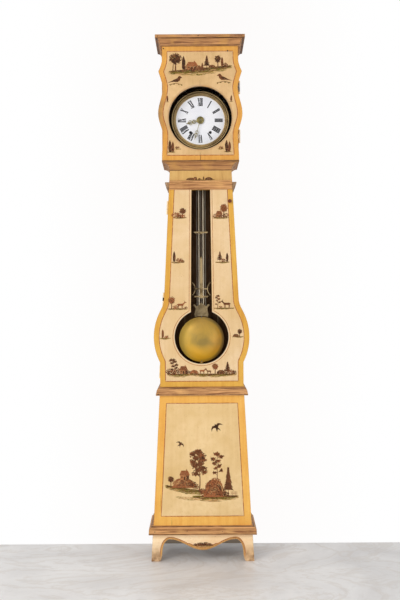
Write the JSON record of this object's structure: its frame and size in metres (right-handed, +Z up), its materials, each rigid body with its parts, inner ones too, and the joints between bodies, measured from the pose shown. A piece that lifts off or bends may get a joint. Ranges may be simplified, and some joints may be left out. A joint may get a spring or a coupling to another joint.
{
  "type": "longcase clock",
  "caption": "Tall painted clock with a bellied glazed-slot trunk door, tapering base on bracket feet, round brass-framed dial and a gridiron pendulum.",
  "frame": {"origin": "on the floor, in the middle of the overall width and depth", "axes": "+Z up, -Y towards the viewer of the dial, +X to the viewer's right"},
  "size_m": [0.484, 0.28, 2.36],
  "materials": {
    "cream_paint": "aged cream paint on softwood",
    "yellow_paint": "aged yellow ochre paint on softwood",
    "worn_moulding": "bare worn softwood",
    "inside_wood": "unpainted darkened softwood",
    "knob_wood": "dark turned wood",
    "hinge_iron": "dark wrought iron",
    "frame_iron": "dark forged iron",
    "weight_iron": "rough cast iron",
    "steel": "aged bright steel",
    "bezel_brass": "aged stepped brass",
    "wheel_brass": "cast brass",
    "bob_brass": "polished thin brass",
    "hand_brass": "pierced aged brass",
    "bell_bronze": "bell bronze",
    "glass": "clear flat glass",
    "enamel": "white vitreous enamel",
    "cord": "twisted natural fibre line"
  },
  "bodies": {
    "case": {"base_front_panel": "cream_paint", "base_sides": "yellow_paint", "base_floor": "inside_wood", "base_moulding": "worn_moulding", "apron_front": "cream_paint", "apron_sides": "yellow_paint", "back_boards": "inside_wood", "mid_moulding": "worn_moulding", "trunk_sides": "yellow_paint", "neck_returns": "worn_moulding", "frieze_board": "yellow_paint", "head_cove": "yellow_paint", "head_sides": "yellow_paint", "head_top": "inside_wood", "crown_moulding": "yellow_paint", "seat_board": "inside_wood", "head_hinge_case": "hinge_iron", "trunk_hinge_case": "hinge_iron", "movement_cage": "frame_iron", "train_bars": "frame_iron", "dial": "enamel", "bezel": "bezel_brass", "bell": "bell_bronze", "bell_stand": "frame_iron", "suspension_cock": "steel", "going_line": "cord", "strike_line": "cord"},
    "head_door": {"head_door_board": "cream_paint", "dial_glass": "glass", "head_hinge_door": "hinge_iron"},
    "trunk_door": {"trunk_door_board": "cream_paint", "neck_moulding": "worn_moulding", "trunk_hinge_door": "hinge_iron"},
    "door_latch": {"trunk_knob": "knob_wood", "latch_tongue": "steel"},
    "hammer": {"hammer": "steel"},
    "pendulum": {"suspension_spring": "steel", "pendulum_rods": "steel", "pendulum_crossbars": "wheel_brass"},
    "bob": {"pendulum_bob": "bob_brass"},
    "rating_nut": {"rating_nut": "wheel_brass"},
    "anchor": {"anchor": "steel"},
    "escape_wheel": {"escape_wheel": "wheel_brass"},
    "going_third_wheel": {"going_third_wheel": "wheel_brass"},
    "going_second_wheel": {"going_second_wheel": "wheel_brass"},
    "going_great_wheel": {"going_great_wheel": "wheel_brass"},
    "going_drum": {"going_drum": "wheel_brass"},
    "fly": {"fly": "wheel_brass"},
    "strike_third_wheel": {"strike_third_wheel": "wheel_brass"},
    "strike_pin_wheel": {"strike_pin_wheel": "wheel_brass"},
    "strike_great_wheel": {"strike_great_wheel": "wheel_brass"},
    "strike_drum": {"strike_drum": "wheel_brass"},
    "minute_hand": {"cannon_pinion": "steel", "minute_hand": "hand_brass"},
    "motion_wheel": {"motion_wheel": "wheel_brass"},
    "hour_hand": {"hour_wheel": "wheel_brass", "hour_hand": "hand_brass"},
    "going_weight": {"going_weight": "weight_iron"},
    "strike_weight": {"strike_weight": "weight_iron"}
  },
  "joints": [
    {"name": "head_door_swing", "type": "hinge", "parent": "case", "child": "head_door", "pos_m": [0.176, -0.1045, 1.99], "axis": [0, 0, 1], "range_deg": [0, 95]},
    {"name": "trunk_door_swing", "type": "hinge", "parent": "case", "child": "trunk_door", "pos_m": [-0.17181, -0.0925, 1.1772], "axis": [-0.0498, 0, -0.9988], "range_deg": [0, 90]},
    {"name": "trunk_knob_turn", "type": "hinge", "parent": "trunk_door", "child": "door_latch", "pos_m": [0.13, -0.1, 1.616], "axis": [0, -1, 0], "range_deg": [0, 90]},
    {"name": "pendulum_swing", "type": "hinge", "parent": "case", "child": "pendulum", "pos_m": [0, -0.034, 2.053], "axis": [0, 1, 0], "range_deg": [-3, 3]},
    {"name": "bob_height", "type": "slide", "parent": "pendulum", "child": "bob", "axis": [0, 0, 1], "range_m": [-0.003, 0.003]},
    {"name": "rating_nut_turn", "type": "hinge", "parent": "bob", "child": "rating_nut", "pos_m": [0, -0.034, 0.883], "axis": [0, 0, 1], "range_deg": [-1080, 1080]},
    {"name": "anchor_rock", "type": "hinge", "parent": "case", "child": "anchor", "pos_m": [0, 0.02, 2.053], "axis": [0, 1, 0], "range_deg": [-3, 3]},
    {"name": "escape_spin", "type": "hinge", "parent": "case", "child": "escape_wheel", "pos_m": [0, 0.02, 2.022], "axis": [0, 1, 0], "continuous": true},
    {"name": "going_third_spin", "type": "hinge", "parent": "case", "child": "going_third_wheel", "pos_m": [0.02434, 0.046, 2.00817], "axis": [0, 1, 0], "continuous": true},
    {"name": "going_second_spin", "type": "hinge", "parent": "case", "child": "going_second_wheel", "pos_m": [0.038, 0.066, 1.97692], "axis": [0, 1, 0], "continuous": true},
    {"name": "going_great_spin", "type": "hinge", "parent": "case", "child": "going_great_wheel", "pos_m": [0.045, 0.006, 1.935], "axis": [0, 1, 0], "continuous": true},
    {"name": "fly_spin", "type": "hinge", "parent": "case", "child": "fly", "pos_m": [-0.048, 0.03, 2.034], "axis": [0, 1, 0], "continuous": true},
    {"name": "strike_third_spin", "type": "hinge", "parent": "case", "child": "strike_third_wheel", "pos_m": [-0.0545, 0.046, 2.00676], "axis": [0, 1, 0], "continuous": true},
    {"name": "strike_pin_spin", "type": "hinge", "parent": "case", "child": "strike_pin_wheel", "pos_m": [-0.038, 0.066, 1.97692], "axis": [0, 1, 0], "continuous": true},
    {"name": "strike_great_spin", "type": "hinge", "parent": "case", "child": "strike_great_wheel", "pos_m": [-0.045, 0.006, 1.935], "axis": [0, 1, 0], "continuous": true},
    {"name": "hammer_lift", "type": "hinge", "parent": "case", "child": "hammer", "pos_m": [-0.111, 0.035, 2.03], "axis": [0, -1, 0], "range_deg": [0, 10]},
    {"name": "minute_hand_turn", "type": "hinge", "parent": "case", "child": "minute_hand", "pos_m": [0, -0.05, 1.99], "axis": [0, 1, 0], "continuous": true},
    {"name": "motion_wheel_turn", "type": "hinge", "parent": "case", "child": "motion_wheel", "pos_m": [0, -0.05, 1.966], "axis": [0, 1, 0], "continuous": true},
    {"name": "hour_hand_turn", "type": "hinge", "parent": "case", "child": "hour_hand", "pos_m": [0, -0.06, 1.99], "axis": [0, 1, 0], "continuous": true},
    {"name": "going_weight_slide", "type": "slide", "parent": "case", "child": "going_weight", "axis": [0, 0, 1], "range_m": [-0.14, 1.2], "deforming": ["going_line"]},
    {"name": "going_drum_turn", "type": "hinge", "parent": "case", "child": "going_drum", "pos_m": [0.045, 0.038, 1.935], "axis": [0, 1, 0], "range_deg": [-2200, 300]},
    {"name": "strike_weight_slide", "type": "slide", "parent": "case", "child": "strike_weight", "axis": [0, 0, 1], "range_m": [-0.14, 1.2], "deforming": ["strike_line"]},
    {"name": "strike_drum_turn", "type": "hinge", "parent": "case", "child": "strike_drum", "pos_m": [-0.045, 0.038, 1.935], "axis": [0, 1, 0], "range_deg": [-300, 2200]}
  ],
  "couplings": [
    {"joint": "anchor_rock", "follows": "pendulum_swing", "ratio": 1},
    {"joint": "rating_nut_turn", "follows": "bob_height", "rad_per_m": 6283.2},
    {"joint": "going_third_spin", "follows": "escape_spin", "ratio": -0.16667},
    {"joint": "going_second_spin", "follows": "escape_spin", "ratio": 0.024691},
    {"joint": "going_great_spin", "follows": "escape_spin", "ratio": -0.0032922},
    {"joint": "strike_third_spin", "follows": "fly_spin", "ratio": -0.16667},
    {"joint": "strike_pin_spin", "follows": "fly_spin", "ratio": 0.024691},
    {"joint": "strike_great_spin", "follows": "fly_spin", "ratio": -0.0032922},
    {"joint": "motion_wheel_turn", "follows": "minute_hand_turn", "ratio": -0.33333},
    {"joint": "hour_hand_turn", "follows": "minute_hand_turn", "ratio": 0.083333},
    {"joint": "going_drum_turn", "follows": "going_weight_slide", "rad_per_m": -31.447},
    {"joint": "strike_drum_turn", "follows": "strike_weight_slide", "rad_per_m": 31.447}
  ]
}
